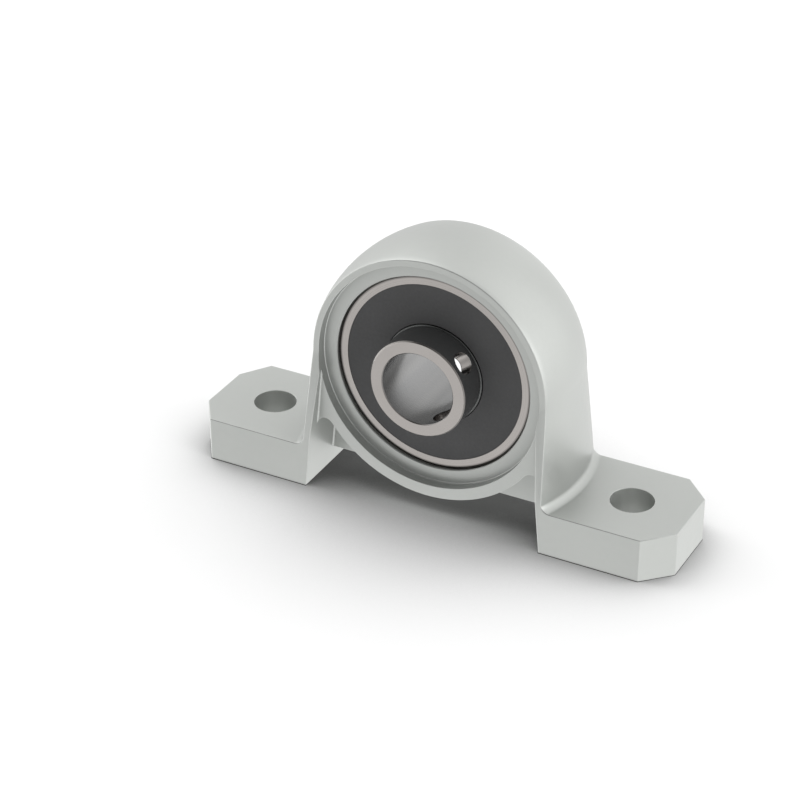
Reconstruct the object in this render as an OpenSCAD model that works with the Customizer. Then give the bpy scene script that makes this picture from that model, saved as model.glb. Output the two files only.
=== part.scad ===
// Pillow block bearing: die-cast two-bolt block with a self-aligning insert bearing.
// Millimetres. X runs along the base, Y along the shaft (the collar end of the
// inner ring points to -Y), Z is up. The origin is midway between the two bolt
// holes, on the base plane.

/* [Base] */
// Overall length of the base
base_l = 55; // [54:0.5:60]
// Depth of the feet, front to back
base_w = 13; // [12.6:0.1:14]
// Thickness of the feet
foot_h = 4.9; // [4.5:0.1:5.5]
// Distance between the two bolt holes
bolt_spacing = 42; // [41:0.5:43]
// Diameter of the bolt holes
bolt_d = 4.6; // [4:0.1:5.2]
// Half the gap between the feet, at the base plane
gap_half = 13.6; // [13.4:0.1:13.8]
// Corner cut of the left foot, along X
cut_left_x = 2.2; // [1:0.1:3]
// Corner cut of the left foot, along Y
cut_left_y = 3.3; // [1:0.1:4]
// Corner cut of the right foot, along X
cut_right_x = 2.85; // [1:0.1:3.5]
// Corner cut of the right foot, along Y
cut_right_y = 2.85; // [1:0.1:4]

/* [Arch and hub] */
// Height of the shaft axis above the base plane
axis_h = 15.9; // [15.8:0.1:16.2]
// Largest radius of the arch, at mid depth
arch_r = 14.0; // [14:0.1:14.3]
// Radius of the crown of the arch and the legs, seen from above
crown_r = 17.72; // [17:0.02:19]
// Depth of the arch and the hub, front to back
hub_w = 10; // [9.8:0.1:10.2]
// Outer radius of the lower half of the hub
hub_r = 13.9; // [13.8:0.05:13.95]
// Radius of the counterbore in each face
cbore_r = 12.57; // [12.4:0.01:12.7]
// Depth of the counterbore
cbore_t = 1.1; // [1:0.05:1.2]
// Thickness of the web between the legs and the hub
web_t = 2; // [1.5:0.1:3]
// Draft of the inner walls of the legs, sideways per unit of height
draft_in = 0.0925; // [0.08:0.0025:0.1]
// Draft of the outer walls of the legs, sideways per unit of height
draft_out = 0.098; // [0.09:0.002:0.105]
// Radius of the fillet between each leg and its foot
foot_fillet = 0.75; // [0.5:0.05:1]
// Radius of the fillet between each leg and the hub
hub_fillet = 1.0; // [0.8:0.05:1.1]

/* [Bearing] */
// Shaft bore diameter
bore_d = 8; // [7.9:0.05:8.1]
// Width of the outer ring
ring_w = 7; // [6.8:0.1:7.2]
// Spherical radius of the outer ring
ring_sphere_r = 11.6; // [11.55:0.01:11.62]
// Radial clearance between the outer ring and its seat
seat_gap = 0.03; // [0.02:0.01:0.05]
// Outer radius of the flat face of the outer ring
ring_face_r = 10.78; // [10.7:0.02:10.85]
// Radius of the recess that holds each seal
seal_seat_r = 9.98; // [9.95:0.01:10.02]
// Ball diameter
ball_d = 3.969; // [3.95:0.001:3.98]
// Diameter of the circle through the ball centres
pitch_d = 15; // [14.98:0.01:15.02]
// Number of balls
ball_count = 7; // [7]
// Clearance between a ball and each raceway
ball_gap = 0.02; // [0.01:0.01:0.03]
// Clearance between a ball and its cage pocket
pocket_gap = 0.06; // [0.04:0.01:0.08]
// Sheet thickness of the cage
cage_t = 0.28; // [0.25:0.01:0.3]

/* [Collar] */
// Outer radius of the collar of the inner ring
collar_r = 5.39; // [5.35:0.01:5.42]
// Reach of the collar in front of the bearing centre
collar_y = 7.18; // [6.9:0.02:7.4]
// Diameter of the tapped set-screw holes
screw_d = 2.4; // [2.2:0.05:2.5]
// Distance of the set-screw holes in front of the bearing centre
screw_y = 5.32; // [5.2:0.02:5.5]
// Angle of the upper set-screw hole above horizontal
screw_a1 = 37.5; // [30:0.5:45]
// Angle of the lower set-screw hole above horizontal
screw_a2 = -57.5; // [-65:0.5:-50]

/* [Hidden] */
$fn = 96;

cbore_floor = hub_w / 2 - cbore_t;
seat_r = ring_sphere_r + seat_gap;

// legs: the outer wall is a cone about a vertical line, its radius at a height z
crown_x = arch_r - crown_r;
function wall_r(z) = crown_r + draft_out * (axis_h - z);
// centre of the fillet at its foot, a hair closer than its radius to wall and foot
bite = 0.004;
ff_z = foot_h + foot_fillet - bite;
ff_r = wall_r(ff_z) + (foot_fillet - bite) * sqrt(1 + draft_out * draft_out);

// centre of the fillet between leg and hub: a hair closer than its radius to wall and hub
hf_d = hub_fillet - bite;
hf_a = gap_half - hf_d * sqrt(1 + draft_in * draft_in);
hf_b = hf_a * draft_in + axis_h;
hf_c = hf_a * hf_a + axis_h * axis_h - pow(hub_r + hf_d, 2);
hf_z = (hf_b - sqrt(hf_b * hf_b - (1 + draft_in * draft_in) * hf_c)) / (1 + draft_in * draft_in);
hf_x = hf_a - draft_in * hf_z;

pitch_r = pitch_d / 2;
ball_r = ball_d / 2;
inner_groove_r = 0.515 * ball_d;
outer_groove_r = 0.52 * ball_d;
inner_land_r = 6.05;
outer_land_r = 8.85;
seal_land_r = 5.49;
seal_lip_r = 5.53;
seal_y = 3.47;
seal_back = 2.75;
core_t = 0.25;
bore_r = bore_d / 2;
collar_chamfer = 0.13;
bore_chamfer = 0.09;
ball_a0 = 90;

// local Z becomes +Y, at the height of the shaft axis
module on_axis() {
  translate([0, 0, axis_h]) rotate([-90, 0, 0]) children();
}

// a 2D outline in X and Z, made w deep and centred on Y = 0
module slab_xz(w) {
  rotate([90, 0, 0]) translate([0, 0, -w / 2]) linear_extrude(w) children();
}

// centre of ball i in the local frame of on_axis
function ball_at(i) = let (a = ball_a0 + i * 360 / ball_count)
  [pitch_r * cos(a), -pitch_r * sin(a), 0];

// ---------------------------------------------------------------- housing

// upper half: a barrel whose radius is largest at mid depth
module arch() {
  intersection() {
    on_axis() rotate_extrude($fn = 180) intersection() {
      translate([crown_x, 0]) circle(r = crown_r, $fn = 180);
      translate([0, -hub_w / 2]) square([arch_r + 1, hub_w]);
    }
    translate([-20, -10, axis_h - 0.4]) cube([40, 20, 20]);
  }
}

// lower half of the hub, between the legs
module hub() {
  intersection() {
    on_axis() cylinder(r = hub_r, h = hub_w, center = true, $fn = 180);
    translate([-12.68, -10, 0]) cube([25.36, 20, axis_h + 0.5]);
  }
}

// crowned outer wall of the right leg, with the fillet at its foot
module leg_wall() {
  translate([crown_x, 0, 0]) rotate_extrude($fn = 180) difference() {
    polygon([
      [12, foot_h - 1], [ff_r, foot_h - 1], [ff_r, foot_h + 0.2],
      [ff_r - 0.2, ff_z - 0.1], [wall_r(ff_z), ff_z],
      [wall_r(axis_h + 1), axis_h + 1], [12, axis_h + 1]]);
    translate([ff_r, ff_z]) circle(r = foot_fillet, $fn = 96);
  }
}

// right foot: outer corners cut
module foot(cx, cy) {
  linear_extrude(foot_h) polygon([
    [8, -base_w], [base_l / 2 - cx - (base_w / 2) * cx / cy, -base_w],
    [base_l / 2, -base_w / 2 + cy], [base_l / 2, base_w / 2 - cy],
    [base_l / 2 - cx - (base_w / 2) * cx / cy, base_w], [8, base_w]]);
}

// right leg and foot: front and rear faces lean in above the foot, inner wall has draft
module side(cx, cy) {
  intersection() {
    union() {
      leg_wall();
      foot(cx, cy);
    }
    // side profile
    rotate([90, 0, 90]) linear_extrude(40) polygon([
      [-base_w / 2, -1], [base_w / 2, -1], [base_w / 2, foot_h], [hub_w / 2, axis_h],
      [hub_w / 2 - 0.2, axis_h + 1.5], [-hub_w / 2 + 0.2, axis_h + 1.5],
      [-hub_w / 2, axis_h], [-base_w / 2, foot_h]]);
    // inner wall
    slab_xz(30) polygon([
      [gap_half + draft_in, -1], [40, -1], [40, axis_h + 2], [gap_half - draft_in * (axis_h + 2), axis_h + 2]]);
  }
}

// fillet between a leg's inner wall and the hub, filled back through the hub's depth
module hub_corner() {
  u = [hf_x, hf_z - axis_h] / (hub_r + hf_d);
  t2 = [u[0] * hub_r, axis_h + u[1] * hub_r];
  slab_xz(hub_w) difference() {
    polygon([[hf_x + 0.3, hf_z + 0.05], [hf_x + 1.4, hf_z + 0.05], [gap_half - 0.6, 10.4], [11.4, 10.4],
             t2 - u * 0.6, t2 + u * 0.1]);
    translate([hf_x, hf_z]) circle(r = hub_fillet, $fn = 96);
  }
}

module housing() {
  color([0.80, 0.81, 0.79]) difference() {
    union() {
      arch();
      hub();
      hub_corner();
      mirror([1, 0, 0]) hub_corner();
      side(cut_right_x, cut_right_y);
      mirror([1, 0, 0]) side(cut_left_x, cut_left_y);
      // web between the legs, level with the bottom of the hub
      translate([0, 0, (axis_h - hub_r + axis_h) / 2])
        cube([2 * (gap_half - 0.1), web_t, hub_r], center = true);
    }
    // spherical seat of the outer ring, open through both faces
    on_axis() rotate_extrude($fn = 180) intersection() {
      circle(r = seat_r, $fn = 180);
      translate([0, -8]) square([20, 16]);
    }
    // counterbore in each face
    on_axis() translate([0, 0, cbore_floor]) cylinder(r = cbore_r, h = 6, $fn = 180);
    on_axis() translate([0, 0, -cbore_floor - 6]) cylinder(r = cbore_r, h = 6, $fn = 180);
    // bolt holes
    for (s = [-1, 1]) translate([s * bolt_spacing / 2, 0, -1])
      cylinder(d = bolt_d, h = foot_h + 2, $fn = 96);
  }
}

// ---------------------------------------------------------------- bearing rings

// outer ring: spherical outside, one raceway, a recess for a seal at each end
module outer_ring() {
  edge = sqrt(pow(ring_sphere_r, 2) - pow(ring_w / 2 - 0.22, 2));
  color([0.70, 0.69, 0.67]) on_axis() difference() {
    intersection() {
      sphere(r = ring_sphere_r, $fn = 180);
      rotate_extrude($fn = 180) polygon([
        [0, -ring_w / 2], [ring_face_r, -ring_w / 2], [edge, -ring_w / 2 + 0.22],
        [14, -ring_w / 2 + 0.3], [14, ring_w / 2 - 0.3],
        [edge, ring_w / 2 - 0.22], [ring_face_r, ring_w / 2], [0, ring_w / 2]]);
    }
    cylinder(r = outer_land_r, h = 20, center = true, $fn = 120);
    // raceway
    rotate_extrude($fn = 180)
      translate([pitch_r + ball_r + ball_gap - outer_groove_r, 0]) circle(r = outer_groove_r, $fn = 96);
    // seal recesses, each with an undercut for the rim of the seal
    for (s = [-1, 1]) scale_y(s) rotate_extrude($fn = 180) polygon([
      [8, seal_back], [10.12, seal_back], [10.12, seal_back + 0.26],
      [seal_seat_r, seal_back + 0.36], [seal_seat_r, 6], [8, 6]]);
  }
}

// mirrors a shape to the other end of the bearing when s is -1
module scale_y(s) {
  if (s > 0) children();
  else mirror([0, 0, 1]) children();
}

// inner ring: raceway ring with a long collar at the front, bored and cross-drilled
module inner_ring() {
  w = ring_w / 2;
  color([0.72, 0.70, 0.68]) difference() {
    on_axis() difference() {
      rotate_extrude($fn = 180) polygon([
        [bore_r + bore_chamfer, -collar_y], [collar_r - collar_chamfer, -collar_y],
        [collar_r, -collar_y + collar_chamfer], [collar_r, -w],
        [seal_land_r, -w], [seal_land_r, -seal_back + 0.15], [inner_land_r, -seal_back + 0.15],
        [inner_land_r, seal_back - 0.15], [seal_land_r, seal_back - 0.15], [seal_land_r, w - 0.08],
        [seal_land_r - 0.08, w], [bore_r + bore_chamfer, w],
        [bore_r, w - bore_chamfer], [bore_r, -collar_y + bore_chamfer]]);
      rotate_extrude($fn = 180)
        translate([pitch_r - ball_r - ball_gap + inner_groove_r, 0]) circle(r = inner_groove_r, $fn = 96);
    }
    // set-screw holes through one wall of the collar
    for (a = [screw_a1, screw_a2]) translate([0, -screw_y, axis_h])
      rotate([0, 90 - a, 0]) translate([0, 0, 2]) cylinder(d = screw_d, h = 6, $fn = 64);
  }
}

// ---------------------------------------------------------------- balls and cage

module ball(i) {
  color([0.78, 0.78, 0.78]) on_axis() translate(ball_at(i)) sphere(r = ball_r, $fn = 64);
}

// one pressed half of the cage: flats between the balls, a spherical cup over each ball
module cage_half(s) {
  pr = ball_r + pocket_gap;
  on_axis() scale_y(s) difference() {
    intersection() {
      rotate_extrude($fn = 120) polygon([[6.6, 0], [8.4, 0], [8.4, 2.6], [6.6, 2.6]]);
      union() {
        cylinder(r = 9, h = cage_t, $fn = 120);
        for (i = [0 : ball_count - 1]) translate(ball_at(i)) sphere(r = pr + cage_t, $fn = 64);
      }
    }
    for (i = [0 : ball_count - 1]) translate(ball_at(i)) sphere(r = pr, $fn = 64);
    for (i = [0 : ball_count - 1]) translate(ball_at(i + 0.5)) cylinder(r = 0.34, h = 2, center = true, $fn = 32);
  }
}

module cage_front() { color([0.74, 0.72, 0.66]) cage_half(-1); }
module cage_rear() { color([0.74, 0.72, 0.66]) cage_half(1); }

// seven rivets that hold the two halves of the cage together
module cage_rivets() {
  color([0.62, 0.60, 0.56]) on_axis() for (i = [0 : ball_count - 1])
    translate(ball_at(i + 0.5)) rotate_extrude($fn = 32) polygon([
      [0, -cage_t - 0.18], [0.45, -cage_t - 0.18], [0.55, -cage_t - 0.08], [0.55, -cage_t], [0.34, -cage_t],
      [0.34, cage_t], [0.55, cage_t], [0.55, cage_t + 0.08], [0.45, cage_t + 0.18], [0, cage_t + 0.18]]);
}

// ---------------------------------------------------------------- seals

// rubber seal: outer rim snapped in the outer ring, lip just clear of the inner ring
module seal(s) {
  core_y = seal_back + 0.05;
  color([0.20, 0.20, 0.20]) on_axis() scale_y(s) rotate_extrude($fn = 180) polygon([
    [seal_lip_r, seal_y - 0.08], [seal_lip_r + 0.08, seal_y], [seal_seat_r - 0.05, seal_y],
    [seal_seat_r, seal_y - 0.05],
    [seal_seat_r, seal_back + 0.36], [10.12, seal_back + 0.26], [10.12, seal_back],
    [9.62, seal_back], [9.62, core_y + core_t], [6.4, core_y + core_t], [6.4, core_y],
    [6.15, core_y], [5.95, core_y + 0.2], [5.75, core_y + 0.22], [5.6, core_y + 0.1], [seal_lip_r, core_y + 0.14]]);
}

// steel stiffener let into the inner face of a seal
module seal_core(s) {
  core_y = seal_back + 0.05;
  color([0.60, 0.60, 0.62]) on_axis() scale_y(s) rotate_extrude($fn = 180) polygon([
    [6.4, core_y], [9.62, core_y], [9.62, core_y + core_t], [6.4, core_y + core_t]]);
}

module seal_front() { seal(-1); }
module seal_rear() { seal(1); }
module seal_core_front() { seal_core(-1); }
module seal_core_rear() { seal_core(1); }

// ---------------------------------------------------------------- assembly

housing();
outer_ring();
inner_ring();
ball(0);  // ball_1
ball(1);  // ball_2
ball(2);  // ball_3
ball(3);  // ball_4
ball(4);  // ball_5
ball(5);  // ball_6
ball(6);  // ball_7
cage_front();
cage_rear();
cage_rivets();
seal_front();
seal_rear();
seal_core_front();
seal_core_rear();
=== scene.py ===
import math

import bmesh
import bpy
from mathutils import Matrix, Vector


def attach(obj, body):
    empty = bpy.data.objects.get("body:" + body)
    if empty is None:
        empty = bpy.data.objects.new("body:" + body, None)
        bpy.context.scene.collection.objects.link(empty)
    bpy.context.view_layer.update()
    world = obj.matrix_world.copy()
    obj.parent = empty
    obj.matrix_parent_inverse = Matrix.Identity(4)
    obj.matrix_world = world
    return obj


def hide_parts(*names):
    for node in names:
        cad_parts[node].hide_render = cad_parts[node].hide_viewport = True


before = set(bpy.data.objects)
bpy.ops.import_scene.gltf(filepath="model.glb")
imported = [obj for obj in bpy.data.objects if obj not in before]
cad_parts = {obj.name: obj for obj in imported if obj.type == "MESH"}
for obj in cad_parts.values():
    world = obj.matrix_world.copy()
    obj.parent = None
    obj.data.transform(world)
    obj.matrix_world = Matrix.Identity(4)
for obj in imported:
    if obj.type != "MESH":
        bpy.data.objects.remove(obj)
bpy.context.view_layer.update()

MM = 0.001

# ------------------------------------------------------------------ sizes, mm (the CAD's own)
AX = 15.9            # height of the shaft axis
CROWN_R = 17.72      # crown of arch and legs, seen from above
ARCH_R = 14.0
CROWN_X = ARCH_R - CROWN_R
HUB_R = 13.9
HUB_Y = 5.0          # half depth of the hub
FOOT_Y = 6.5         # half depth of the feet
FOOT_H = 4.9
GAP = 13.6           # half gap between the feet at the base
DIN, DOUT, DOUT_R = 0.0925, 0.098, 0.088
CB_R, CB_Y = 12.57, 3.9
SEAT_R = 11.63
WEB_Y, WEB_Z = 1.0, 2.0
BOLT_X, BOLT_R = 21.0, 2.3
BORE_R, COLLAR_R, COLLAR_Y, RING_Y = 4.0, 5.39, 7.18, 3.5
END_X = 27.5
FILLET, HFILLET = 0.93, 1.0
CUTS = {1: (2.85, 2.85), -1: (2.2, 3.3)}
Z_KINK = FOOT_H + FILLET * (1 - DOUT / math.sqrt(1 + DOUT * DOUT))    # top of the foot fillet, where a leg's face starts to lean


def wall_r(z, sx):
    """Radius of a leg's outer wall at height z; the right leg spreads a little less."""
    return CROWN_R + (DOUT_R if sx > 0 else DOUT) * (AX - z)


def side_y(z):
    """Half depth of a leg at height z."""
    return min(FOOT_Y, HUB_Y + (AX - z) * (FOOT_Y - HUB_Y) / (AX - Z_KINK))


def inner_x(z):
    return GAP - DIN * z


# ------------------------------------------------------------------ housing mesh
def housing_mesh():
    """The cast housing as one closed mesh with shared corners, ready for rounded edges."""
    verts, faces = [], []

    def add(loop, flip=False):
        """One face from points in mm, as a list of vertex numbers."""
        ids = []
        for p in loop:
            verts.append(Vector(p))
            ids.append(len(verts) - 1)
        if flip:
            ids.reverse()
        faces.append(ids)

    def leg_rows(sx):
        """Radius and height of the rows of a leg's outer wall, from the fillet at its foot to the arch."""
        fz = FOOT_H + FILLET
        fr = wall_r(fz, sx) + FILLET * math.sqrt(1 + DOUT * DOUT)
        a_top, a_bot = math.pi + math.atan(DOUT), 1.5 * math.pi           # touches the wall, touches the foot
        angles = [a_bot + (a_top - a_bot) * k / 8 for k in range(9)]
        rows = [(fr + FILLET * math.cos(a), fz + FILLET * math.sin(a)) for a in angles]
        rows[0] = (rows[0][0], FOOT_H)
        rows[-1] = (wall_r(Z_KINK, sx), Z_KINK)
        rows += [(wall_r(z, sx), z) for z in [Z_KINK + (AX - Z_KINK) * k / 9 for k in range(1, 10)]]
        rows[-1] = (CROWN_R, AX)
        return rows

    M = 16
    N = 96
    KINK = 8                                          # fillet row at which the leg's sloping face begins
    HF0 = 4                                           # point of the hub fillet at which its rounded edge begins

    def skin_leg(sx, r, z):
        y = side_y(z)
        row = []
        for j in range(M + 1):
            yy = y * (2 * j / M - 1)
            row.append((sx * (CROWN_X + math.sqrt(r * r - yy * yy)), yy, z))
        return row

    def skin_arch(t):
        row = []
        for j in range(M + 1):
            yy = HUB_Y * (2 * j / M - 1)
            rho = CROWN_X + math.sqrt(CROWN_R ** 2 - yy * yy)
            row.append((rho * math.cos(t), yy, AX + rho * math.sin(t)))
        return row

    right = [skin_leg(1, r, z) for r, z in leg_rows(1)]
    left = [skin_leg(-1, r, z) for r, z in leg_rows(-1)]
    arch = [skin_arch(math.pi * k / N) for k in range(1, N)]
    skin = right + arch + left[::-1]
    for a, b in zip(skin, skin[1:]):
        for j in range(M):
            add([a[j], a[j + 1], b[j + 1], b[j]])

    # where the leg's inner wall meets the counterbore
    qa = 1 + DIN * DIN
    qb = -2 * (GAP * DIN + AX)
    qc = GAP * GAP + AX * AX - CB_R * CB_R
    z_apex = (-qb - math.sqrt(qb * qb - 4 * qa * qc)) / (2 * qa)
    x_apex = inner_x(z_apex)
    t_apex = math.atan2(z_apex - AX, x_apex)
    # fillet between inner wall and hub
    ha = GAP - HFILLET * math.sqrt(qa)
    hb = ha * DIN + AX
    hc = ha * ha + AX * AX - (HUB_R + HFILLET) ** 2
    hz = (hb - math.sqrt(hb * hb - qa * hc)) / qa
    hx = ha - DIN * hz
    a1 = math.atan(DIN)
    a2 = math.atan2(AX - hz, -hx)
    K = 12
    hf = [(hx + HFILLET * math.cos(a1 + (a2 - a1) * k / K), hz + HFILLET * math.sin(a1 + (a2 - a1) * k / K)) for k in range(K + 1)]
    z_t1 = hf[0][1]
    hf[0] = (inner_x(z_t1), z_t1)
    t_hub = math.atan2(hf[K][1] - AX, hf[K][0])       # where the hub's own circle starts, right side
    # the web meets the hub's underside here
    z_web = WEB_Z + 0.05
    x_web = math.sqrt(HUB_R ** 2 - (AX - z_web) ** 2)
    t_web = math.atan2(z_web - AX, x_web)
    H1, H2 = 22, 12
    hub_angles = [t_hub + (t_web - t_hub) * k / H1 for k in range(H1 + 1)]
    mid = [t_web + (-math.pi - 2 * t_web) * k / H2 for k in range(1, H2)]
    hub_angles = hub_angles + mid + [-math.pi - t for t in hub_angles[::-1]]
    hub_pts = [(HUB_R * math.cos(t), AX + HUB_R * math.sin(t)) for t in hub_angles]
    hub_pts[0] = hf[K]
    hub_pts[-1] = (-hf[K][0], hf[K][1])
    # counterbore circle
    L1, L2 = 6, 84
    # where the hub's rounded edge begins on the fillet, and the wall point beside it
    q = hf[HF0]
    dx, dz = q[0] - hx, q[1] - hz
    k_w = (GAP - DIN * q[1] - q[0]) / (dx + DIN * dz)
    beside = (q[0] + k_w * dx, q[1] + k_w * dz)
    cb_up = [math.pi * k / N for k in range(N + 1)]
    cb_side = [t_apex * k / L1 for k in range(L1 + 1)]                     # 0 down to the apex, right side
    cb_low = [t_apex + (-math.pi - 2 * t_apex) * k / L2 for k in range(L2 + 1)]

    def cb(t, y):
        return (CB_R * math.cos(t), y, AX + CB_R * math.sin(t))

    def cb_leg(t, s):
        """The counterbore's rim on the sloping face of a leg."""
        z = AX + CB_R * math.sin(t)
        return (CB_R * math.cos(t), s * side_y(z), z)

    for s in (-1, 1):
        f = s > 0
        edge = 0 if s < 0 else M
        # upper half of the ring-shaped face of the arch
        outer = [right[-1][edge]] + [row[edge] for row in arch] + [left[-1][edge]]
        add(outer + [cb(t, s * HUB_Y) for t in cb_up[::-1]], f)
        # lower half, down to the fillets
        low = [cb(t, s * HUB_Y) for t in cb_low]
        low[0] = (x_apex, s * HUB_Y, z_apex)
        low[-1] = (-x_apex, s * HUB_Y, z_apex)
        bx, bz = beside
        rim = [(bx, s * HUB_Y, bz)] + [(x, s * HUB_Y, z) for x, z in hf[HF0:]] + [(x, s * HUB_Y, z) for x, z in hub_pts[1:-1]] \
            + [(-x, s * HUB_Y, z) for x, z in hf[HF0:][::-1]] + [(-bx, s * HUB_Y, bz)]
        add(low + rim[::-1], f)
        for sx in (1, -1):
            add([(sx * x, s * HUB_Y, z) for x, z in hf[:HF0 + 1]] + [(sx * bx, s * HUB_Y, bz)], f ^ (sx < 0))
        for sx in (1, -1):
            g = f ^ (sx < 0)
            rows = right if sx > 0 else left
            down = [row[edge] for row in rows[::-1]]                       # outer edge, from the kink to the foot
            apex = (sx * x_apex, s * side_y(z_apex), z_apex)
            low_in = (sx * inner_x(Z_KINK), s * FOOT_Y, Z_KINK)
            arc = [cb_leg(t, s) for t in cb_side[::-1]]
            arc = [(sx * x, y, z) for x, y, z in arc]
            arc[0] = apex
            # sloping face of the leg
            add([p for p in down[::-1]][KINK:] + arc[::-1] + [low_in], g)
            # front of the foot, with the first rows of the fillet's edge
            cx, cy = CUTS[sx]
            xc = END_X - cx
            add([low_in, (sx * GAP, s * FOOT_Y, 0), (sx * xc, s * FOOT_Y, 0), (sx * xc, s * FOOT_Y, FOOT_H)] + down[::-1][:KINK + 1], g)
            # cut corner
            add([(sx * xc, s * FOOT_Y, 0), (sx * END_X, s * (FOOT_Y - cy), 0),
                 (sx * END_X, s * (FOOT_Y - cy), FOOT_H), (sx * xc, s * FOOT_Y, FOOT_H)], g)
            # top of the foot, one half
            Q = 24
            hole = [(sx * (BOLT_X - BOLT_R * math.cos(math.pi * k / Q)), s * BOLT_R * math.sin(math.pi * k / Q)) for k in range(Q + 1)]
            hole[0] = (sx * (BOLT_X - BOLT_R), 0.0)
            hole[-1] = (sx * (BOLT_X + BOLT_R), 0.0)
            half = [p for p in (rows[0] if s < 0 else rows[0][::-1])][: M // 2 + 1]
            half = [(p[0], p[1] if abs(p[1]) > 1e-9 else 0.0, FOOT_H) for p in half]
            add(half + [(x, y, FOOT_H) for x, y in hole] + [(sx * END_X, 0.0, FOOT_H), (sx * END_X, s * (FOOT_Y - cy), FOOT_H), (sx * xc, s * FOOT_Y, FOOT_H)], g ^ True)
            # underside of the foot, one half
            add([(sx * GAP, s * FOOT_Y, 0), (sx * GAP, 0.0, 0)] + [(x, y, 0) for x, y in hole]
                + [(sx * END_X, 0.0, 0), (sx * END_X, s * (FOOT_Y - cy), 0), (sx * xc, s * FOOT_Y, 0)], g)
            # wall of the bolt hole
            for (xa, ya), (xb, yb) in zip(hole, hole[1:]):
                add([(xa, ya, 0), (xb, yb, 0), (xb, yb, FOOT_H), (xa, ya, FOOT_H)], g)
            # counterbore wall beside the leg
            for ta, tb in zip(cb_side, cb_side[1:]):
                pa, pb = cb_leg(ta, s), cb_leg(tb, s)
                if tb == cb_side[-1]:
                    pb = (x_apex, s * side_y(z_apex), z_apex)
                    wb = [pb, (x_apex, s * HUB_Y, z_apex), (x_apex, s * CB_Y, z_apex)]
                else:
                    wb = [pb, cb(tb, s * CB_Y)]
                wa = [cb(ta, s * CB_Y), pa]
                add([(sx * x, y, z) for x, y, z in wa + wb], g)
            # front and rear of the web, from the inner wall to the hub
            y = s * WEB_Y
            j = min(range(1, H1), key=lambda i: abs(hub_pts[i][0] - x_web - 1.4))
            add([(sx * inner_x(WEB_Z), y, WEB_Z)] + [(sx * x, y, z) for x, z in hf]
                + [(sx * x, y, z) for x, z in hub_pts[1:j + 1]] + [(sx * (x_web + 1.4), y, WEB_Z)], g ^ True)
            add([(sx * x, y, z) for x, z in hub_pts[j:H1 + 1]] + [(sx * (x_web + 1.4), y, WEB_Z)], g ^ True)
            # hub fillet and the hub's underside, in front of or behind the web
            strip = hf + hub_pts[1:H1 + 1]
            for (xa, za), (xb, zb) in zip(strip, strip[1:]):
                add([(sx * xa, s * HUB_Y, za), (sx * xb, s * HUB_Y, zb), (sx * xb, y, zb), (sx * xa, y, za)], g)
        # counterbore wall, upper and lower
        for ts in (cb_up, cb_low):
            for ta, tb in zip(ts, ts[1:]):
                pa, pb, qa_, qb_ = cb(ta, s * HUB_Y), cb(tb, s * HUB_Y), cb(ta, s * CB_Y), cb(tb, s * CB_Y)
                if ts is cb_low and ta == cb_low[0]:
                    pa, qa_ = (x_apex, s * HUB_Y, z_apex), (x_apex, s * CB_Y, z_apex)
                if ts is cb_low and tb == cb_low[-1]:
                    pb, qb_ = (-x_apex, s * HUB_Y, z_apex), (-x_apex, s * CB_Y, z_apex)
                add([pa, pb, qb_, qa_], f ^ (ts is cb_low))
        # flat floor of the counterbore, around the mouth of the seat
        ring = cb_up + [-math.pi - t for t in cb_side[1:]] + cb_low[::-1][1:] + cb_side[::-1][1:]
        mouth = math.sqrt(SEAT_R ** 2 - CB_Y ** 2)
        for k, (ta, tb) in enumerate(zip(ring, ring[1:])):
            def at(r, t, y):
                if abs(r - CB_R) < 1e-9:
                    if abs(t - t_apex) < 1e-12:
                        return (x_apex, y, z_apex)
                    if abs(t + math.pi + t_apex) < 1e-12:
                        return (-x_apex, y, z_apex)
                return (r * math.cos(t), y, AX + r * math.sin(t))
            add([at(CB_R, ta, s * CB_Y), at(CB_R, tb, s * CB_Y), at(mouth, tb, s * CB_Y), at(mouth, ta, s * CB_Y)], f)
    # the strip of the hub's underside between the web's two ends
    for (xa, za), (xb, zb) in zip(hub_pts[H1:H1 + H2 + 1], hub_pts[H1 + 1:H1 + H2 + 1]):
        for ya, yb in ((-HUB_Y, -WEB_Y), (-WEB_Y, WEB_Y), (WEB_Y, HUB_Y)):
            add([(xa, ya, za), (xb, ya, zb), (xb, yb, zb), (xa, yb, za)])
    # spherical seat
    ring = cb_up + [-math.pi - t for t in cb_side[1:]] + cb_low[::-1][1:] + cb_side[::-1][1:]
    ys = [CB_Y * (k / 5 - 1) for k in range(11)]
    for ya, yb in zip(ys, ys[1:]):
        ra, rb = math.sqrt(SEAT_R ** 2 - ya * ya), math.sqrt(SEAT_R ** 2 - yb * yb)
        for ta, tb in zip(ring, ring[1:]):
            add([(ra * math.cos(ta), ya, AX + ra * math.sin(ta)), (ra * math.cos(tb), ya, AX + ra * math.sin(tb)),
                 (rb * math.cos(tb), yb, AX + rb * math.sin(tb)), (rb * math.cos(ta), yb, AX + rb * math.sin(ta))], True)
    for sx in (1, -1):
        # end face of the foot
        cx, cy = CUTS[sx]
        yc = FOOT_Y - cy
        add([(sx * END_X, -yc, 0), (sx * END_X, 0, 0), (sx * END_X, yc, 0), (sx * END_X, yc, FOOT_H), (sx * END_X, 0, FOOT_H), (sx * END_X, -yc, FOOT_H)], sx < 0)
        # inner wall of foot and leg
        half = [(inner_x(WEB_Z), WEB_Y, WEB_Z), (inner_x(z_t1), WEB_Y, z_t1), (inner_x(z_t1), HUB_Y, z_t1), (beside[0], HUB_Y, beside[1]),
                (x_apex, HUB_Y, z_apex), (x_apex, side_y(z_apex), z_apex), (inner_x(Z_KINK), FOOT_Y, Z_KINK), (GAP, FOOT_Y, 0)]
        back = [(sx * x, y, z) for x, y, z in half]
        front = [(sx * x, -y, z) for x, y, z in half]
        add(front + [(sx * GAP, 0, 0)] + back[::-1], sx < 0)
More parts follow.
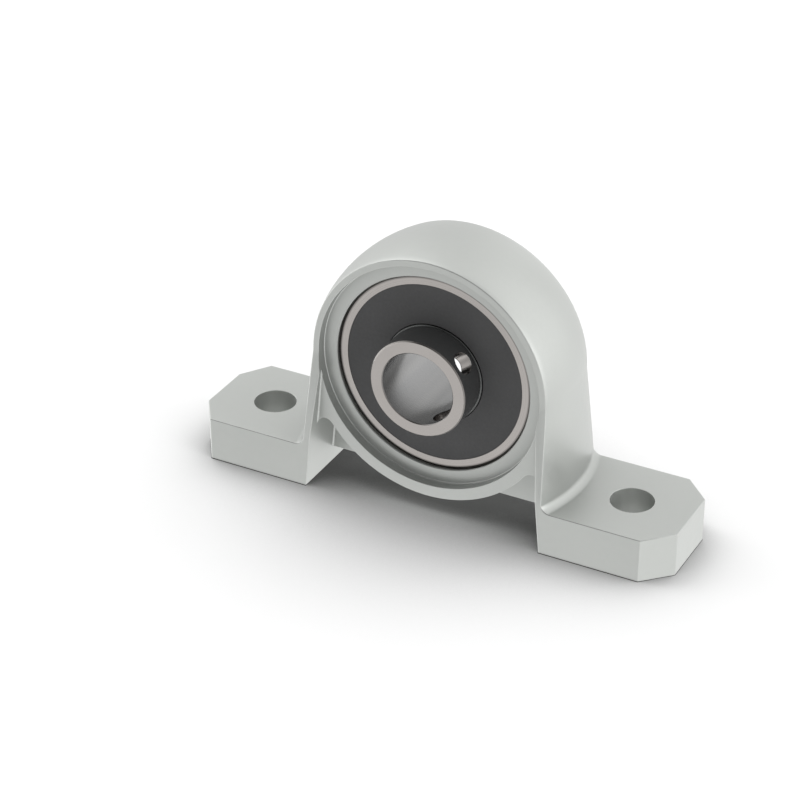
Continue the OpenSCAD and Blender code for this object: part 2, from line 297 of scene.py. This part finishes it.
        # underside of the web
        add([(sx * inner_x(WEB_Z), -WEB_Y, WEB_Z), (sx * inner_x(WEB_Z), WEB_Y, WEB_Z), (sx * (x_web + 1.4), WEB_Y, WEB_Z), (sx * (x_web + 1.4), -WEB_Y, WEB_Z)], sx < 0)
        add([(sx * (x_web + 1.4), -WEB_Y, WEB_Z), (sx * (x_web + 1.4), WEB_Y, WEB_Z), (sx * x_web, WEB_Y, z_web), (sx * x_web, -WEB_Y, z_web)], sx < 0)

    bm = bmesh.new()
    made = [bm.verts.new(v * MM) for v in verts]
    for ids in faces:
        bm.faces.new([made[i] for i in ids])
    bmesh.ops.remove_doubles(bm, verts=bm.verts, dist=2e-7)
    bmesh.ops.recalc_face_normals(bm, faces=bm.faces)
    return bm


def edge_widths(bm):
    """Bevel weight of every sharp edge: 1 for the outer edges of the casting, less where it is machined or hollow."""
    layer = bm.edges.layers.float.new("bevel_weight_edge")
    for e in bm.edges:
        if len(e.link_faces) != 2 or e.calc_face_angle(0) < math.radians(20):
            continue
        a, b = (v.co / MM for v in e.verts)
        m = (a + b) / 2
        r_axis = math.hypot(m.x, m.z - AX)
        floor_corner = abs(abs(m.y) - CB_Y) < 0.01 and abs(r_axis - CB_R) < 0.05
        w = 1.0
        if not e.is_convex and not floor_corner:
            w = 0.0                                       # inner corners stay as cast
            if e.calc_face_angle(0) > math.radians(30):
                e.smooth = False
        elif floor_corner:
            w = 1.1
        elif max(a.z, b.z) < 0.001:
            w = 0.3                                       # edges the block stands on
        elif r_axis < CB_R + 0.1 and abs(m.y) < HUB_Y + 0.6:
            w = 0.55 if r_axis > CB_R - 0.2 else 1.4        # rim of the counterbore, mouth of the seat
        elif abs(math.hypot(abs(m.x) - BOLT_X, m.y) - BOLT_R) < 0.05:
            w = 0.45
        elif abs(m.y) < WEB_Y + 0.05:
            w = 0.5 if m.z < WEB_Z + 0.001 and abs(m.x) > 2.5 and abs(a.y - b.y) < 0.01 else 0.0
        elif abs(abs(m.y) - HUB_Y) < 0.01 and m.z < AX - 7.0 and abs(a.x - b.x) < 1.0 and abs(m.x) > inner_x(m.z) - 0.36 \
                and m.z < AX - 5 and abs(m.x) > 12.4:
            w = 0.0                                       # tip of the hub's fillet
        elif abs(abs(m.y) - HUB_Y) < 0.01 and m.z < 9.0 and abs(m.x) < GAP:
            w = 0.4                                       # lower rim of the hub
        e[layer] = w


def corner_strips(bm):
    """Small hollow fillets in two inner corners of each leg: beside the hub's face, and beside the web."""
    hub = [(7.2, 0.05, HUB_Y), (7.9, 0.2, HUB_Y), (13.2, 0.2, HUB_Y), (13.7, 0.04, HUB_Y)]
    web = [(WEB_Z, 0.21, WEB_Y), (6.4, 0.21, WEB_Y), (7.0, 0.08, WEB_Y)]
    for sx in (1, -1):
        for s in (-1, 1):
            for rows in (hub, web):
                loops = []
                for z, r, y in rows:
                    x = inner_x(z)
                    pts = [(x + 0.03, y - 0.03), (x + 0.03, y + r)]
                    pts += [(x - r + r * math.cos(math.pi / 2 * k / 5), y + r - r * math.sin(math.pi / 2 * k / 5)) for k in range(6)]
                    pts += [(x - r, y - 0.03)]
                    loops.append([bm.verts.new((sx * px * MM, s * py * MM, z * MM)) for px, py in pts])
                made = [bm.faces.new((p[k], p[(k + 1) % len(p)], q[(k + 1) % len(p)], q[k])) for p, q in zip(loops, loops[1:]) for k in range(len(p))]
                made += [bm.faces.new(loops[0]), bm.faces.new(loops[-1])]
                bmesh.ops.recalc_face_normals(bm, faces=made)
                for e in {e for f in made for e in f.edges}:
                    e.smooth = e.calc_face_angle(0) < math.radians(40)


def hard_shading(o):
    """Smooth shading that keeps flat faces flat."""
    for f in o.data.polygons:
        f.use_smooth = True
    m = o.modifiers.new("normals", "WEIGHTED_NORMAL")
    m.weight = 80
    m.keep_sharp = True
    return o


def make_housing():
    bm = housing_mesh()
    edge_widths(bm)
    corner_strips(bm)
    me = bpy.data.meshes.new("housing_cast")
    bm.to_mesh(me)
    bm.free()
    o = bpy.data.objects.new("housing_cast", me)
    bpy.context.scene.collection.objects.link(o)
    b = o.modifiers.new("rounded_edges", "BEVEL")
    b.limit_method = "WEIGHT"
    b.width = 0.11 * MM
    b.segments = 3
    b.use_clamp_overlap = False
    b.loop_slide = True
    b.harden_normals = False
    hard_shading(o)
    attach(o, "housing")
    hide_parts("housing")
    return o


# ------------------------------------------------------------------ materials
class Mat:
    """A small helper that builds one node material on a Principled shader."""

    def __init__(self, name, **sockets):
        self.m = bpy.data.materials.new(name)
        self.m.use_nodes = True
        t = self.m.node_tree
        t.nodes.clear()
        self.t = t
        self.out = t.nodes.new("ShaderNodeOutputMaterial")
        self.p = t.nodes.new("ShaderNodeBsdfPrincipled")
        t.links.new(self.p.outputs[0], self.out.inputs[0])
        for k, v in sockets.items():
            self.p.inputs[k.replace("_", " ")].default_value = v
        self.co = t.nodes.new("ShaderNodeTexCoord").outputs["Object"]

    def node(self, kind, **props):
        n = self.t.nodes.new(kind)
        for k, v in props.items():
            setattr(n, k, v)
        return n

    def link(self, a, b):
        self.t.links.new(a, b)
        return b

    def math(self, op, a, b=None, c=None, clamp=False):
        n = self.node("ShaderNodeMath", operation=op, use_clamp=clamp)
        for i, v in enumerate((a, b, c)):
            if v is None:
                continue
            if isinstance(v, (int, float)):
                n.inputs[i].default_value = v
            else:
                self.link(v, n.inputs[i])
        return n.outputs[0]

    def noise(self, scale, detail=3.0, rough=0.5, co=None, stretch=None):
        n = self.node("ShaderNodeTexNoise")
        n.inputs["Scale"].default_value = scale
        n.inputs["Detail"].default_value = detail
        n.inputs["Roughness"].default_value = rough
        src = co or self.co
        if stretch:
            mp = self.node("ShaderNodeMapping")
            mp.inputs["Scale"].default_value = stretch
            self.link(src, mp.inputs["Vector"])
            src = mp.outputs[0]
        self.link(src, n.inputs["Vector"])
        return n.outputs["Fac"]

    def range(self, v, a, b, c, d):
        n = self.node("ShaderNodeMapRange")
        for name, x in (("From Min", a), ("From Max", b), ("To Min", c), ("To Max", d)):
            n.inputs[name].default_value = x
        self.link(v, n.inputs["Value"])
        return n.outputs[0]

    def mix(self, fac, a, b):
        n = self.node("ShaderNodeMix", data_type="RGBA")
        for sock, v in ((n.inputs[0], fac), (n.inputs[6], a), (n.inputs[7], b)):
            if isinstance(v, (tuple, list)):
                sock.default_value = (*v[:3], 1.0)
            elif isinstance(v, (int, float)):
                sock.default_value = v
            else:
                self.link(v, sock)
        return n.outputs[2]

    def bump(self, height, strength, distance, normal=None):
        n = self.node("ShaderNodeBump")
        n.inputs["Strength"].default_value = strength
        n.inputs["Distance"].default_value = distance
        self.link(height, n.inputs["Height"])
        if normal is not None:
            self.link(normal, n.inputs["Normal"])
        return n.outputs[0]

    def axis_radius(self):
        """Distance from the shaft axis, and the place along it, in metres."""
        sep = self.node("ShaderNodeSeparateXYZ")
        self.link(self.co, sep.inputs[0])
        z = self.math("SUBTRACT", sep.outputs[2], AX * MM)
        r = self.math("SQRT", self.math("ADD", self.math("MULTIPLY", sep.outputs[0], sep.outputs[0]), self.math("MULTIPLY", z, z)))
        return r, sep.outputs[1], sep.outputs[0], z

    def above(self, v, mm):
        """1 where a length in metres is over so many millimetres, else 0."""
        return self.math("GREATER_THAN", v, mm * MM)

    def toned(self, col, tone):
        """A colour times a grey tone."""
        n = self.node("ShaderNodeMix", data_type="RGBA", blend_type="MULTIPLY")
        n.inputs[0].default_value = 1.0
        self.link(col, n.inputs[6])
        self.link(tone, n.inputs[7])
        return n.outputs[2]

    def shade(self, mask, f):
        """1 outside the mask, f inside it."""
        return self.math("SUBTRACT", 1.0, self.math("MULTIPLY", mask, 1.0 - f))

    def turned(self, pitch, strength, distance, along=False):
        """Fine turning marks: rings round the shaft axis on a face, or along the axis on a barrel."""
        r, y, _x, _z = self.axis_radius()
        u = self.math("ADD", r, y) if along is None else (y if along else r)
        comb = self.node("ShaderNodeCombineXYZ")
        self.link(self.math("MULTIPLY", u, 1.0 / pitch), comb.inputs[0])
        n = self.node("ShaderNodeTexNoise", noise_dimensions="3D")
        n.inputs["Scale"].default_value = 1.0
        n.inputs["Detail"].default_value = 2.0
        self.link(comb.outputs[0], n.inputs["Vector"])
        return n.outputs["Fac"]


def cast_metal():
    m = Mat("cast_housing", Base_Color=(*HOUSING_COL, 1), Metallic=0.6, Roughness=0.35, IOR=1.5)
    big = m.noise(70.0, 2.0, 0.5)
    fine = m.noise(1500.0, 3.0, 0.55)
    grit = m.noise(5200.0, 2.0, 0.6)
    tone = m.math("ADD", m.math("MULTIPLY", big, 0.6), m.math("MULTIPLY", fine, 0.4))
    col = m.mix(m.range(tone, 0.35, 0.65, 0.0, 1.0), [c * 0.975 for c in HOUSING_COL], [c * 1.02 for c in HOUSING_COL])
    # painted shade: darker in the recesses by ambient occlusion, on the counterbore's wall and, as a painted dark
    # reflection, along the upper edges of front and rear
    ao = m.node("ShaderNodeAmbientOcclusion", samples=12)
    ao.inputs["Distance"].default_value = 0.005
    tone = m.range(ao.outputs["AO"], 0.5, 0.95, 0.88, 1.0)
    r, y, x, _z = m.axis_radius()
    # painted shade on the counterbore's wall, which stands in shadow
    wall = m.math("MULTIPLY", m.math("MULTIPLY", m.above(r, CB_R - 0.03), m.math("SUBTRACT", 1.0, m.above(r, CB_R + 0.02))), m.above(m.math("ABSOLUTE", y), CB_Y + 0.03))
    tone = m.math("MULTIPLY", tone, m.shade(wall, 0.80))
    # painted shade in the mouth of the seat, the dark gap round the ring
    mouth = m.math("MULTIPLY", m.math("SUBTRACT", 1.0, m.above(r, CB_R - 1.47)), m.above(r, CB_R - 2.2))
    tone = m.math("MULTIPLY", tone, m.shade(mouth, 0.75))
    # painted light: the walls of the bolt holes are brighter, as if lit from below through the holes
    bolt = m.math("SUBTRACT", m.math("ABSOLUTE", x), BOLT_X * MM)
    bolt = m.math("SQRT", m.math("ADD", m.math("MULTIPLY", bolt, bolt), m.math("MULTIPLY", y, y)))
    tone = m.math("MULTIPLY", tone, m.shade(m.math("SUBTRACT", 1.0, m.above(bolt, BOLT_R + 0.02)), 1.25))
    # painted dark reflection on the bevels of the upper front and rear edges, picked by the surface's facing; deeper on
    # the feet than higher up
    sep = m.node("ShaderNodeSeparateXYZ")
    m.link(m.node("ShaderNodeTexCoord").outputs["Normal"], sep.inputs[0])
    ny = m.math("ABSOLUTE", sep.outputs[1])
    rim = m.math("MULTIPLY", m.range(ny, 0.56, 0.66, 0.0, 1.0), m.range(ny, 0.82, 0.93, 1.0, 0.0))
    rim = m.math("MULTIPLY", rim, m.range(sep.outputs[2], 0.25, 0.55, 0.0, 1.0))
    up = m.node("ShaderNodeSeparateXYZ")
    m.link(m.co, up.inputs[0])
    rim = m.math("MULTIPLY", rim, m.range(up.outputs[2], 5.2 * MM, 6.2 * MM, 0.62, 0.30))
    tone = m.math("MULTIPLY", tone, m.math("SUBTRACT", 1.0, rim))
    m.link(m.toned(col, tone), m.p.inputs["Base Color"])
    m.link(m.range(fine, 0.3, 0.7, 0.32, 0.38), m.p.inputs["Roughness"])
    h = m.math("ADD", m.math("MULTIPLY", fine, 0.6), m.math("MULTIPLY", grit, 0.4))
    m.link(m.bump(h, 0.25, 0.00002), m.p.inputs["Normal"])
    return m.m


def ground_steel(name, col, rough, pitch=0.00006, marks=0.2, along=None):
    m = Mat(name, Base_Color=(*col, 1), Metallic=1.0, Roughness=rough)
    lines = m.turned(pitch, 0, 0, along)
    big = m.noise(220.0, 3.0)
    m.link(m.mix(m.range(big, 0.3, 0.7, 0.0, 1.0), [c * 0.97 for c in col], [min(1.0, c * 1.03) for c in col]), m.p.inputs["Base Color"])
    m.link(m.range(lines, 0.3, 0.7, rough * 0.9, rough * 1.12), m.p.inputs["Roughness"])
    m.link(m.bump(lines, marks, 0.000002), m.p.inputs["Normal"])
    return m.m


def outer_ring_steel():
    """Ground ring; a painted dark line on its outer edge beside the seat stands in for the shade of the gap there."""
    m = Mat("ring_steel", Metallic=1.0, Roughness=0.28)
    r, y, _x, _z = m.axis_radius()
    lines = m.turned(0.00006, 0, 0, None)
    big = m.noise(220.0, 3.0)
    col = m.mix(m.range(big, 0.3, 0.7, 0.0, 1.0), [c * 0.97 for c in RING_COL], [c * 1.03 for c in RING_COL])
    # painted shade: the outer edge beside the seat darkens to a dark line
    m.link(m.toned(col, m.range(r, 10.63 * MM, 10.69 * MM, 1.0, 0.60)), m.p.inputs["Base Color"])
    m.link(m.range(lines, 0.3, 0.7, 0.26, 0.31), m.p.inputs["Roughness"])
    m.link(m.bump(lines, 0.2, 0.000002), m.p.inputs["Normal"])
    return m.m


def inner_ring_steel():
    """Ground face, turned barrel and honed bore of one ring, told apart by their place round the shaft axis; painted
    shade darkens its broken edges, the land behind the collar and the cross hole.
    """
    m = Mat("collar_steel", Metallic=1.0, Roughness=0.24)
    r, y, x, z = m.axis_radius()
    lines = m.turned(0.00006, 0, 0, None)
    big = m.noise(220.0, 3.0)
    spread = m.range(big, 0.3, 0.7, 0.0, 1.0)
    face = m.mix(spread, [c * 0.97 for c in RING_COL], [c * 1.03 for c in RING_COL])
    barrel = m.mix(spread, (0.410, 0.416, 0.414), (0.432, 0.438, 0.436))
    streaks = m.noise(420.0, 2.0, 0.5, stretch=(1.0, 0.02, 1.0))             # lengthwise marks of the bore
    honed = m.mix(m.range(streaks, 0.36, 0.64, 0.0, 1.0), (0.206, 0.207, 0.207), (0.238, 0.237, 0.234))
    front = m.math("SUBTRACT", 1.0, m.above(y, -COLLAR_Y + 0.13))          # the collar's face and its broken edge
    inside = m.math("SUBTRACT", 1.0, m.above(r, BORE_R + 0.004))
    col = m.mix(inside, face, honed)
    col = m.mix(m.math("MULTIPLY", m.above(r, COLLAR_R - 0.02), m.above(y, -COLLAR_Y + 0.13)), col, barrel)
    # painted shade: dark lines on the broken edges of the bore and of the collar's face
    bore_edge_shade = m.math("MULTIPLY", m.above(r, BORE_R + 0.004), m.math("SUBTRACT", 1.0, m.above(r, BORE_R + 0.087)))
    collar_edge_shade = m.math("MULTIPLY", m.above(r, COLLAR_R - 0.125), front)
    # painted shade on the ground land behind the collar, which lies in the collar's shadow
    land_shade = m.math("MULTIPLY", m.above(r, COLLAR_R + 0.004), m.above(m.math("ABSOLUTE", y), RING_Y - 0.2))
    # painted shade on the wall of the cross hole, inside the ring
    cross_hole_shade = m.math("MULTIPLY", m.math("MULTIPLY", m.above(r, BORE_R + 0.004), m.math("SUBTRACT", 1.0, m.above(r, COLLAR_R - 0.01))),
                     m.math("SUBTRACT", m.above(y, -COLLAR_Y + 0.14), m.above(y, RING_Y - 0.15)))
    tone = m.math("MULTIPLY", m.math("MULTIPLY", m.shade(bore_edge_shade, 0.45), m.shade(collar_edge_shade, 0.42)), m.shade(land_shade, 0.24))
    tone = m.math("MULTIPLY", tone, m.shade(cross_hole_shade, 0.70))
    m.link(m.toned(col, tone), m.p.inputs["Base Color"])
    m.link(m.math("MULTIPLY_ADD", inside, 0.015, m.range(lines, 0.3, 0.7, 0.21, 0.27)), m.p.inputs["Roughness"])
    m.link(m.bump(m.math("MULTIPLY", lines, m.shade(inside, 0.2)), 0.2, 0.000002), m.p.inputs["Normal"])
    return m.m


def rubber():
    m = Mat("seal_rubber", Base_Color=(*SEAL_COL, 1), Metallic=0.0, Roughness=0.7, IOR=1.45)
    fine = m.noise(3200.0, 3.0, 0.6)
    big = m.noise(260.0, 2.0)
    m.link(m.mix(m.range(big, 0.3, 0.7, 0.0, 1.0), [c * 0.94 for c in SEAL_COL], [c * 1.06 for c in SEAL_COL]), m.p.inputs["Base Color"])
    m.link(m.range(fine, 0.3, 0.7, 0.64, 0.78), m.p.inputs["Roughness"])
    m.link(m.bump(fine, 0.2, 0.00001), m.p.inputs["Normal"])
    return m.m


HOUSING_COL = (0.398, 0.410, 0.394)
SEAL_COL = (0.0445, 0.0445, 0.0452)
RING_COL = (0.377, 0.356, 0.340)


def dress(name, *mats):
    """Gives a CAD node its materials by its material slots."""
    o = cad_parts[name]
    o.data.materials.clear()
    for m in mats:
        o.data.materials.append(m)
    return o


housing = make_housing()
housing.data.materials.append(cast_metal())
dress("outer_ring", outer_ring_steel())
dress("inner_ring", inner_ring_steel())
seal_mat = rubber()
for n in ("seal_front", "seal_rear"):
    dress(n, seal_mat)
core = ground_steel("core_steel", (0.50, 0.50, 0.50), 0.35)
for n in ("seal_core_front", "seal_core_rear"):
    dress(n, core)
ball = ground_steel("ball_steel", (0.70, 0.70, 0.71), 0.06, marks=0.02)
for k in range(1, 8):
    dress("ball_%d" % k, ball)
cage = ground_steel("cage_steel", (0.55, 0.53, 0.48), 0.3)
for n in ("cage_front", "cage_rear", "cage_rivets"):
    dress(n, cage)

# ------------------------------------------------------------------ floor, light, camera
# openness of the floor towards the sky, and the floor's tone there, a painted shadow where it is less open
FLOOR_PAINTED_SHADOW = [(0.25, 0.150), (0.32, 0.245), (0.37, 0.318), (0.58, 0.532), (0.65, 0.588), (0.72, 0.650),
              (0.80, 0.722), (0.88, 0.765), (0.93, 0.790), (1.00, 0.800)]
AMBIENT = 0.600
# direction (azimuth from +X towards +Y, elevation), sharpness, strength
LOBES = [
    (0, 8, 14, 2.542), (45, 8, 14, 0.937), (90, 8, 14, 0.638), (135, 8, 14, 0.399), (180, 8, 14, 1.535),
    (225, 8, 14, 0.686), (315, 8, 14, 0.154), (0, 38, 14, 1.061), (45, 38, 14, 0.867), (90, 38, 14, 0.548),
    (135, 38, 14, 0.471), (180, 38, 14, 2.419), (60, 66, 14, 0.686), (120, 66, 14, 0.091), (180, 66, 14, 1.556),
    (0, -18, 12, 0.750), (45, -18, 12, 0.525), (90, -18, 12, 0.420), (180, -18, 12, 1.884), (225, -18, 12, 0.201),
    (315, -18, 12, 0.745), (0, -52, 10, 0.315), (60, -52, 10, 0.804), (180, -52, 10, 1.559), (240, -52, 10, 0.649),
    (300, -52, 10, 1.586), (232, 49, 12, -0.85),
]


def make_floor():
    bm = bmesh.new()
    bmesh.ops.create_circle(bm, cap_ends=True, radius=4.0, segments=96)
    me = bpy.data.meshes.new("floor")
    bm.to_mesh(me)
    bm.free()
    o = bpy.data.objects.new("floor", me)
    bpy.context.scene.collection.objects.link(o)
    o.location = (0, 0, -0.00002)
    m = Mat("floor_white", Roughness=0.9)
    m.p.inputs["Specular IOR Level"].default_value = 0.0
    # plain white, with a painted shadow that deepens where the object stands close over it
    ao = m.node("ShaderNodeAmbientOcclusion", samples=16)
    ao.inputs["Distance"].default_value = 0.03
    ramp = m.node("ShaderNodeValToRGB").color_ramp
    ramp.elements[0].position, ramp.elements[1].position = FLOOR_PAINTED_SHADOW[0][0], FLOOR_PAINTED_SHADOW[-1][0]
    for p, _v in FLOOR_PAINTED_SHADOW[1:-1]:
        ramp.elements.new(p)
    for k, (p, v) in enumerate(FLOOR_PAINTED_SHADOW):
        ramp.elements[k].position = p
        ramp.elements[k].color = (v, v, v, 1.0)
    r = m.t.nodes["Color Ramp"]
    m.link(ao.outputs["AO"], r.inputs[0])
    m.link(r.outputs[0], m.p.inputs["Base Color"])
    me.materials.append(m.m)
    # lit by the studio all round, the floor only carries the soft shadow, partly real and partly painted
    o.visible_diffuse = o.visible_glossy = o.visible_transmission = o.visible_shadow = False
    return o


def make_contact():
    """A dark sheet just under the feet, a painted contact shadow that darkens the edges they stand on; inside the bolt
    holes it is pale and glows, a painted light on the holes from below.
    """
    bm = bmesh.new()
    e, ex = 0.07, 0.03
    for sx in (1, -1):
        cx, cy = CUTS[sx]
        out = [(GAP - ex, -FOOT_Y - e), (END_X - cx, -FOOT_Y - e), (END_X + ex, -FOOT_Y + cy), (END_X + ex, FOOT_Y - cy),
               (END_X - cx, FOOT_Y + e), (GAP - ex, FOOT_Y + e)]
        loop = [bm.verts.new((sx * x * MM, y * MM, 0)) for x, y in out]
        bm.faces.new(loop if sx > 0 else loop[::-1])
    me = bpy.data.meshes.new("contact")
    bm.to_mesh(me)
    bm.free()
    o = bpy.data.objects.new("contact", me)
    bpy.context.scene.collection.objects.link(o)
    o.location = (0, 0, -0.00001)
    m = Mat("contact_shadow", Roughness=0.9)
    sep = m.node("ShaderNodeSeparateXYZ")
    m.link(m.co, sep.inputs[0])
    dx = m.math("SUBTRACT", m.math("ABSOLUTE", sep.outputs[0]), BOLT_X * MM)
    off = m.math("SQRT", m.math("ADD", m.math("MULTIPLY", dx, dx), m.math("MULTIPLY", sep.outputs[1], sep.outputs[1])))
    beyond = m.above(off, BOLT_R + 0.02)
    # painted shadow: dark round the feet, pale inside the bolt holes
    m.link(m.mix(beyond, (0.85, 0.85, 0.85), (0.07, 0.07, 0.07)), m.p.inputs["Base Color"])
    # painted light: the sheet glows inside the bolt holes, though it is no lamp
    m.p.inputs["Emission Color"].default_value = (1, 1, 1, 1)
    m.link(m.math("SUBTRACT", 0.5, m.math("MULTIPLY", beyond, 0.5)), m.p.inputs["Emission Strength"])
    m.p.inputs["Specular IOR Level"].default_value = 0.0
    me.materials.append(m.m)
    return o


def make_world():
    w = bpy.data.worlds.new("studio")
    bpy.context.scene.world = w
    w.use_nodes = True
    t = w.node_tree
    t.nodes.clear()
    out = t.nodes.new("ShaderNodeOutputWorld")
    bg = t.nodes.new("ShaderNodeBackground")
    t.links.new(bg.outputs[0], out.inputs[0])
    co = t.nodes.new("ShaderNodeTexCoord")
    total = None
    for k, (az, el, sharp, power) in enumerate(LOBES):
        a, e = math.radians(az), math.radians(el)
        d = t.nodes.new("ShaderNodeVectorMath")
        d.operation = "DOT_PRODUCT"
        t.links.new(co.outputs["Generated"], d.inputs[0])
        d.inputs[1].default_value = (math.cos(a) * math.cos(e), math.sin(a) * math.cos(e), math.sin(e))
        mx = t.nodes.new("ShaderNodeMath")
        mx.operation = "MAXIMUM"
        t.links.new(d.outputs["Value"], mx.inputs[0])
        mx.inputs[1].default_value = 0.0
        pw = t.nodes.new("ShaderNodeMath")
        pw.operation = "POWER"
        t.links.new(mx.outputs[0], pw.inputs[0])
        pw.inputs[1].default_value = sharp
        ma = t.nodes.new("ShaderNodeMath")
        ma.operation = "MULTIPLY_ADD"
        ma.name = "lobe_%d" % k
        t.links.new(pw.outputs[0], ma.inputs[0])
        ma.inputs[1].default_value = power
        if total is None:
            ma.inputs[2].default_value = AMBIENT
        else:
            t.links.new(total, ma.inputs[2])
        total = ma.outputs[0]
    low = t.nodes.new("ShaderNodeMath")
    low.operation = "MAXIMUM"
    t.links.new(total, low.inputs[0])
    low.inputs[1].default_value = 0.03
    t.links.new(low.outputs[0], bg.inputs["Color"])
    bg.inputs["Strength"].default_value = 1.0
    return w


def make_camera():
    cam = bpy.data.cameras.new("camera")
    o = bpy.data.objects.new("camera", cam)
    bpy.context.scene.collection.objects.link(o)
    az, el, focal, dist, tx, tz = 27.971, 30.736, 2570.3, 272.303, -5.068, 9.368
    a, e = math.radians(az), math.radians(el)
    back = Vector((math.sin(a) * math.cos(e), -math.cos(a) * math.cos(e), math.sin(e)))
    right = Vector((math.cos(a), math.sin(a), 0))
    up = back.cross(right)
    o.location = (back * dist + right * tx + up * tz) * MM
    o.rotation_euler = Matrix((right, up, back)).transposed().to_euler()
    cam.sensor_width = 36.0
    cam.lens = focal * 36.0 / 800.0
    cam.clip_start, cam.clip_end = 0.01, 50.0
    bpy.context.scene.camera = o
    return o


make_floor()
make_contact()
make_world()
make_camera()
view = bpy.context.scene.view_settings
view.view_transform = "Standard"
view.look = "None"
view.exposure = 0.0
view.gamma = 1.0
